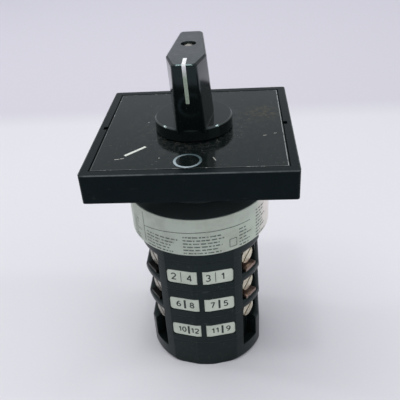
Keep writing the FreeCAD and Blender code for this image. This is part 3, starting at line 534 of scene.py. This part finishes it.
# A lighter copy of the black moulding: painted light for the lid, which sits in shade under the plate
LID_BLACK_LIT = moulded_black("lid_black_lit", LID_LIT_TONES, specular=0.35, rough=(0.30, 0.42),
                          dust=0.25, grain=1400)
LEGEND_GREY = legend_material()
LABEL_FILM = printed_film("label_film", (0.61, 0.67, 0.57), (0.50, 0.56, 0.47))
BAND_FILM = printed_film("band_film", (0.50, 0.56, 0.48), (0.40, 0.44, 0.37),
                         right_end_tone=(0.86, 0.80, 0.75))
# Painted shade: the screws go darker towards the switch's left
NICKEL = metal("screw_nickel", (0.80, 0.76, 0.62), (0.48, 0.43, 0.32), rough=(0.28, 0.45),
               scale=500, left=(0.40, 0.38, 0.33))
ZINC = metal("zinc_steel", (0.62, 0.63, 0.64), (0.36, 0.35, 0.33), rough=(0.30, 0.48), scale=400)
# Painted shade: the copper goes nearly black towards the switch's left
COPPER = metal("contact_copper", (0.44, 0.32, 0.27), (0.060, 0.046, 0.042), rough=(0.30, 0.55),
               scale=380, left=(0.014, 0.013, 0.013))
BRASS = metal("insert_brass", (0.78, 0.62, 0.32), (0.46, 0.34, 0.16), rough=(0.28, 0.42), scale=350)
SPRING_STEEL = metal("spring_steel", (0.55, 0.56, 0.58), (0.38, 0.38, 0.38), rough=(0.22, 0.32),
                     scale=500)
KNOB_SCREW = metal("knob_screw_steel", (0.50, 0.49, 0.45), (0.25, 0.24, 0.21), rough=(0.34, 0.50),
                   scale=600)
CAM_PLASTIC = inner_plastic("cam_plastic", (0.55, 0.53, 0.46), (0.46, 0.44, 0.38))
PLUNGER_PLASTIC = inner_plastic("plunger_plastic", (0.24, 0.06, 0.04), (0.16, 0.04, 0.03))
POINTER_PAINT = pointer_paint()
WHITE_PAINT = ink("white_paint", (0.74, 0.77, 0.71), (0.34, 0.37, 0.34), rub_start=0.58)
DARK_INK = ink("dark_ink", (0.022, 0.030, 0.027), (0.07, 0.09, 0.08), rub_start=0.62)
FAINT_INK = ink("faint_ink", (0.10, 0.13, 0.115), (0.30, 0.34, 0.29), rub_start=0.52)
RING_PAINT = ring_paint()
DUST = ink("dust", (0.36, 0.36, 0.33), (0.16, 0.16, 0.14), rub_start=0.5)
SILVER_WEAR = silver_wear()

NODE_MATERIALS = {
    "knob": KNOB_BLACK, "knob_screw": KNOB_SCREW, "plate_frame": PLATE_BLACK,
    "legend_plate": LEGEND_GREY, "plate_screws": ZINC, "threaded_inserts": BRASS,
    "latch_lid": LID_BLACK_LIT, "latch_housing": HOUSING_BLACK, "rating_band": BAND_FILM,
    "index_wheel": CAM_PLASTIC, "stop_disc": CAM_PLASTIC, "shaft": ZINC,
    "front_leaf_spring": SPRING_STEEL, "back_leaf_spring": SPRING_STEEL,
    "shaft_clip": SPRING_STEEL, "stack_lid": HOUSING_BLACK, "end_cap": HOUSING_BLACK,
    "tie_bolts": ZINC, "tie_nuts": ZINC,
}
STAGE_MATERIALS = {
    "housing": HOUSING_BLACK, "cam": CAM_PLASTIC, "fixed_contacts": COPPER,
    "front_plunger": PLUNGER_PLASTIC, "back_plunger": PLUNGER_PLASTIC,
    "front_bridge": COPPER, "back_bridge": COPPER,
    "front_spring": SPRING_STEEL, "back_spring": SPRING_STEEL,
    "clamp_washers": ZINC, "terminal_screws": NICKEL,
    "label_right": LABEL_FILM, "label_left": LABEL_FILM,
}


def finish_nodes():
    """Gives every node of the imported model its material."""
    materials = dict(NODE_MATERIALS)
    for stage in STAGES:
        for ending, material in STAGE_MATERIALS.items():
            materials[f"stage_{stage}_{ending}"] = material
    for node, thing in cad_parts.items():
        for slot in thing.material_slots:
            slot.material = materials[node]


def on_surface(node, start, direction):
    """Point just proud of a node's surface, straight ahead of a starting point."""
    hit, place, normal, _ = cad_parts[node].ray_cast(start, direction)
    if not hit:
        raise ValueError(f"nothing of {node} lies ahead of {tuple(start)}")
    outward = normal if normal.dot(direction) < 0 else -normal
    return place + outward * INK_LIFT


def on_legend(x, y):
    """Point just proud of the legend plate."""
    return Vector((x, y, LEGEND_HIGH.z + INK_LIFT))


def on_band(along, height):
    """Point just proud of the drum's band, its first coordinate measured round the drum."""
    angle = along / BAND_RADIUS
    reach = BAND_RADIUS + INK_LIFT
    return Vector((reach * math.sin(angle), -reach * math.cos(angle), height))


def strip_edges(points, width):
    """Left and right edges of a strip of a given width along flat points."""
    left = []
    right = []
    for index, point in enumerate(points):
        ahead = points[min(index + 1, len(points) - 1)] - points[max(index - 1, 0)]
        side = Vector((-ahead.y, ahead.x, 0)).normalized() * (width / 2)
        left.append(point + side)
        right.append(point - side)
    return left, right


def strip_faces(first, count):
    """Faces between two rows of points, the second row right after the first."""
    return [(first + i, first + count + i, first + count + i + 1, first + i + 1)
            for i in range(count - 1)]


def strip_mesh(name, left, right, material):
    return put(name, left + right, strip_faces(0, len(left)), material)


def off_ring():
    """Ring printed in front of the knob."""
    outer = []
    inner = []
    for step in range(RING_STEPS + 1):
        angle = 2 * math.pi * step / RING_STEPS
        around = Vector((math.cos(angle), math.sin(angle), 0))
        outer.append(RING_PLACE + around * RING_OUTER + on_legend(0, 0))
        inner.append(RING_PLACE + around * RING_INNER + on_legend(0, 0))
    dress(strip_mesh("off_ring", outer, inner, RING_PAINT), HOUSING_BODY)


def on_line():
    """White line that the pointer meets at its other position."""
    angle = math.radians(LINE_AZIMUTH)
    along = Vector((math.sin(angle), -math.cos(angle), 0))
    ends = [along * reach + on_legend(0, 0) for reach in (LINE_START, LINE_END)]
    left, right = strip_edges(ends, LINE_WIDTH)
    dress(strip_mesh("on_line", left, right, WHITE_PAINT), HOUSING_BODY)


def pointer_path():
    """Starting points and directions that meet the knob's top, its front edge and its front."""
    down = Vector((0, 0, -1))
    back = Vector((0, 1, 0))
    edge = KNOB_LOW.y + POINTER_EDGE
    top = KNOB_HIGH.z - POINTER_EDGE
    path = []
    for step in range(POINTER_STEPS):
        y = POINTER_BACK + (edge - POINTER_BACK) * step / POINTER_STEPS
        path.append((Vector((0, y, TOP_REACH)), down))
    for step in range(POINTER_BEND_STEPS + 1):
        angle = math.pi / 2 * step / POINTER_BEND_STEPS
        inward = Vector((0, math.sin(angle), -math.cos(angle)))
        path.append((Vector((0, edge, top)) - inward * POINTER_STANDOFF, inward))
    for step in range(1, POINTER_STEPS + 1):
        z = top + (POINTER_LOW - top) * step / POINTER_STEPS
        path.append((Vector((0, FRONT_REACH, z)), back))
    return path


def pointer():
    """White line on the knob: over the top's front half and down the front face."""
    sides = []
    for side in (-1, 1):
        offset = Vector((side * POINTER_WIDTH / 2, 0, 0))
        sides.append([on_surface("knob", start + offset, way) for start, way in pointer_path()])
    dress(strip_mesh("pointer_line", *sides, POINTER_PAINT), ROTOR_BODY)


def half_crown(side, first):
    """Points and faces of one half moon of the crown, its points counted from a first one."""
    radius = SCREW_HIGH.x
    edge = CROWN_SLOT / 2
    row_length = CROWN_COLUMNS + 1
    verts = []
    faces = []
    for row in range(CROWN_ROWS + 1):
        off = edge + (radius * CROWN_END - edge) * row / CROWN_ROWS
        reach = math.sqrt(radius ** 2 - off ** 2)
        for column in range(row_length):
            along = side * reach * (2 * column / CROWN_COLUMNS - 1)
            rise = CROWN_RISE * (1 - (off ** 2 + along ** 2) / radius ** 2)
            verts.append(Vector((along, side * off, SCREW_HIGH.z + rise)))
    wall = first + len(verts)
    for column in range(row_length):
        verts.append(Vector((verts[column].x, side * edge, SCREW_HIGH.z)))
    for column in range(CROWN_COLUMNS):
        for row in range(CROWN_ROWS):
            near = first + row * row_length + column
            far = near + row_length
            faces.append((near, near + 1, far + 1, far))
        faces.append((wall + column, wall + column + 1, first + column + 1, first + column))
    return verts, faces


def screw_crown():
    """Domed top of the knob's screw: two half moons with the slot between them."""
    verts = []
    faces = []
    for side in (-1, 1):
        more_verts, more_faces = half_crown(side, len(verts))
        verts += more_verts
        faces += more_faces
    dress(put("knob_screw_crown", verts, faces, KNOB_SCREW), ROTOR_BODY)


def arc(centre, radii, start, end, steps=14):
    """Points of an arc in glyph units, angles in degrees from the right, anticlockwise."""
    points = []
    for step in range(steps + 1):
        angle = math.radians(start + (end - start) * step / steps)
        points.append((centre[0] + radii[0] * math.cos(angle), centre[1] + radii[1] * math.sin(angle)))
    return points


SIX = arc((0.55, 0.36), (0.50, 0.60), 100, 180, 8) + arc((0.30, 0.30), (0.25, 0.26), 180, 540, 18)

# Strokes of each digit, in a box one unit high
GLYPHS = {
    "0": [arc((0.30, 0.50), (0.25, 0.46), 90, 450, 20)],
    "1": [[(0.12, 0.72), (0.34, 0.96), (0.34, 0.04)]],
    "2": [arc((0.30, 0.70), (0.25, 0.26), 165, -30) + [(0.05, 0.05), (0.57, 0.05)]],
    "3": [arc((0.29, 0.73), (0.23, 0.23), 150, -90) + arc((0.29, 0.27), (0.26, 0.23), 90, -150)],
    "4": [[(0.60, 0.28), (0.03, 0.28), (0.44, 0.96), (0.44, 0.04)]],
    "5": [[(0.53, 0.95), (0.14, 0.95), (0.10, 0.50)] + arc((0.29, 0.31), (0.26, 0.27), 130, -150)],
    "6": [SIX],
    "7": [[(0.05, 0.94), (0.56, 0.94), (0.22, 0.04)]],
    "8": [arc((0.30, 0.74), (0.20, 0.21), 270, 630, 16), arc((0.30, 0.28), (0.25, 0.24), 90, 450, 18)],
    "9": [[(GLYPH_WIDTH - x, 1.0 - y) for x, y in SIX]],
}


def resample(points, step):
    """The same line with no two points further apart than a step."""
    dense = [points[0]]
    for before, after in zip(points, points[1:]):
        count = max(1, math.ceil((after - before).length / step))
        dense += [before.lerp(after, part / count) for part in range(1, count + 1)]
    return dense


class Print:
    """Collects flat strokes that are laid on a surface and makes one mesh of them."""

    def __init__(self, lay):
        self.lay = lay
        self.verts = []
        self.faces = []

    def stroke(self, points, width):
        line = resample([Vector((x, y, 0)) for x, y in points], STROKE_STEP)
        left, right = strip_edges(line, width)
        self.faces += strip_faces(len(self.verts), len(left))
        self.verts += [self.lay(point.x, point.y) for point in left + right]

    def number(self, word, centre, height, width):
        span = (len(word) - 1) * GLYPH_SPACING + GLYPH_WIDTH
        for index, digit in enumerate(word):
            shift = index * GLYPH_SPACING - span / 2
            for points in GLYPHS[digit]:
                self.stroke([(centre + (x + shift) * height, (y - 0.5) * height)
                             for x, y in points], width)

    def finish(self, name, material, slot):
        dress(put(name, self.verts, self.faces, material), HOUSING_BODY)


def label_print(node):
    """Print for the front of a label, its heights measured from the label's middle."""
    low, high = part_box(node)
    level = (low.z + high.z) / 2

    def lay(x, z):
        return on_surface(node, Vector((x, FRONT_REACH, level + z)), Vector((0, 1, 0)))

    return Print(lay)


def terminal_numbers(stage):
    """Numbers and dividing bars on the two labels of a stage."""
    row = stage - 1
    for side, ending in enumerate(("left", "right")):
        marks = label_print(f"stage_{stage}_label_{ending}")
        for place in (2 * side, 2 * side + 1):
            marks.number(NUMBERS[row][place], NUMBER_PLACES[row][place] * MM,
                         NUMBER_HEIGHTS[row], NUMBER_STROKE)
        half = DIVIDER_HEIGHTS[row] / 2
        bar = DIVIDER_PLACES[row][side] * MM
        marks.stroke([(bar, -half), (bar, half)], DIVIDER_WIDTHS[row])
        marks.finish(f"stage_{stage}_numbers_{ending}", DARK_INK, "label_film")


def band_rules():
    """Rules and an empty box on the drum's band."""
    left, right, low, high = BAND_BOX
    corners = ((left, low), (right, low), (right, high), (left, high), (left, low))
    lines = [((BAND_RULE_AZIMUTH, BAND_RULE_LOW), (BAND_RULE_AZIMUTH, BAND_RULE_TOP)),
             [(azimuth, height * MM) for azimuth, height in BAND_LINE]]
    lines += zip(corners, corners[1:])
    rules = Print(on_band)
    for line in lines:
        rules.stroke([(azimuth * BAND_DEGREE, height) for azimuth, height in line], BAND_RULE_WIDTH)
    rules.finish("band_rules", FAINT_INK, "band_film")


def band_bars():
    """Rows of short plain bars on the drum's band."""
    chance = random.Random(SEED)
    bars = Print(on_band)
    for start, end, first_row in BAND_COLUMNS:
        for row in range(first_row, BAND_TEXT_ROWS):
            level = BAND_TEXT_TOP - (row + 0.5) * BAND_TEXT_PITCH
            along = start * BAND_DEGREE
            limit = (end - chance.uniform(0, BAND_RAGGED)) * BAND_DEGREE
            while along < limit:
                reach = min(along + chance.uniform(*BAND_BAR_LENGTHS), limit)
                bars.stroke([(along, level), (reach, level)], BAND_BAR_WIDTH)
                along = reach + chance.uniform(*BAND_BAR_GAPS)
    bars.finish("band_bars", FAINT_INK, "band_film")


def legend_wear():
    """Rubbed silver edge all round the legend plate."""
    half = LEGEND_HIGH.x - WEAR_INSET
    shrink = 1 - WEAR_WIDTH / half
    around = ((-half, -half), (half, -half), (half, half), (-half, half), (-half, -half))
    outer = [on_legend(x, y) for x, y in around]
    inner = [on_legend(x * shrink, y * shrink) for x, y in around]
    dress(strip_mesh("legend_worn_edge", outer, inner, SILVER_WEAR), HOUSING_BODY)


def legend_scratches():
    """The few larger scratches and chips on the legend plate."""
    marks = Print(on_legend)
    for place, run in SCRATCHES:
        start = Vector(place) * MM
        end = start + Vector(run) * MM
        marks.stroke([start, end], SCRATCH_WIDTH)
    marks.finish("legend_scratches", DUST, "label_film")


def dust():
    """Flecks of dust on the legend plate, thicker round the knob's foot."""
    chance = random.Random(SEED + 1)
    half = LEGEND_HIGH.x - DUST_MARGIN
    places = [(chance.uniform(-half, half), chance.uniform(-half, half)) for _ in range(DUST_COUNT)]
    for _ in range(FOOT_DUST_COUNT):
        angle = chance.uniform(0, 2 * math.pi)
        reach = chance.uniform(*FOOT_DUST_RADII)
        places.append((reach * math.cos(angle), reach * math.sin(angle)))
    verts = []
    faces = []
    for x, y in places:
        if math.hypot(x, y) < FOOT_DUST_RADII[0]:
            continue
        size = chance.uniform(*DUST_SIZES)
        faces.append(tuple(range(len(verts), len(verts) + DUST_CORNERS)))
        for turn in sorted(chance.uniform(0, 2 * math.pi) for _ in range(DUST_CORNERS)):
            deep = size * chance.uniform(*DUST_DEPTHS)
            verts.append(on_legend(x + size * math.cos(turn), y + deep * math.sin(turn)))
    dress(put("dust_flecks", verts, faces, DUST), HOUSING_BODY)


def camera():
    data = bpy.data.cameras.new("photo_camera")
    data.lens = CAMERA_LENS
    data.clip_start = CAMERA_CLIP
    eye = bpy.data.objects.new("photo_camera", data)
    bpy.context.scene.collection.objects.link(eye)
    ahead = Vector((math.sin(CAMERA_YAW) * math.cos(CAMERA_PITCH),
                    math.cos(CAMERA_YAW) * math.cos(CAMERA_PITCH), -math.sin(CAMERA_PITCH)))
    right = Vector((math.cos(CAMERA_YAW), -math.sin(CAMERA_YAW), 0))
    up = right.cross(ahead)
    rolled_right = right * math.cos(CAMERA_ROLL) + up * math.sin(CAMERA_ROLL)
    rolled_up = up * math.cos(CAMERA_ROLL) - right * math.sin(CAMERA_ROLL)
    turn = Matrix((rolled_right, rolled_up, -ahead)).transposed()
    eye.matrix_world = Matrix.Translation(CAMERA_PLACE) @ turn.to_4x4()
    bpy.context.scene.camera = eye


def area_light(name, place, target, size, power, colour):
    data = bpy.data.lights.new(name, "AREA")
    data.shape = "SQUARE"
    data.size = size
    data.energy = power
    data.color = colour
    lamp = bpy.data.objects.new(name, data)
    bpy.context.scene.collection.objects.link(lamp)
    lamp.location = place
    lamp.rotation_mode = "QUATERNION"
    lamp.rotation_quaternion = (Vector(target) - Vector(place)).to_track_quat("-Z", "Y")


def sky():
    world = bpy.data.worlds.new("studio")
    bpy.context.scene.world = world
    world.use_nodes = True
    background = world.node_tree.nodes["Background"]
    background.inputs["Color"].default_value = SKY_COLOUR
    background.inputs["Strength"].default_value = SKY_STRENGTH


def floor():
    """Pale floor whose far part is toned as a backdrop, with painted light that brightens the backdrop
    further away.
    """
    shader = Shader("floor_pale", Specular_IOR_Level=0.2, Roughness=0.8)
    near = shader.mix(shader.noise(6, detail=2.0), *FLOOR_TONES)
    behind = shader.range(shader.axis("Y"), BACKDROP_START, BACKDROP_END)
    # Painted light: the backdrop brightens further away
    deep = shader.range(shader.axis("Y"), BACKDROP_END, BACKDROP_BRIGHTEST)
    shader.colour(shader.mix(behind, near, shader.mix(deep, *BACKDROP_BRIGHTENING_TONES)))
    corners = [(x * FLOOR_REACH, y * FLOOR_REACH, 0) for x, y in ((-1, -1), (1, -1), (1, 1), (-1, 1))]
    put("floor", corners, [(0, 1, 2, 3)], shader.material)


finish_nodes()
off_ring()
on_line()
pointer()
screw_crown()
for stage in STAGES:
    terminal_numbers(stage)
band_rules()
band_bars()
legend_wear()
legend_scratches()
dust()
camera()
sky()
for lamp in LAMPS:
    area_light(*lamp)
floor()
bpy.context.scene.view_settings.view_transform = "Standard"
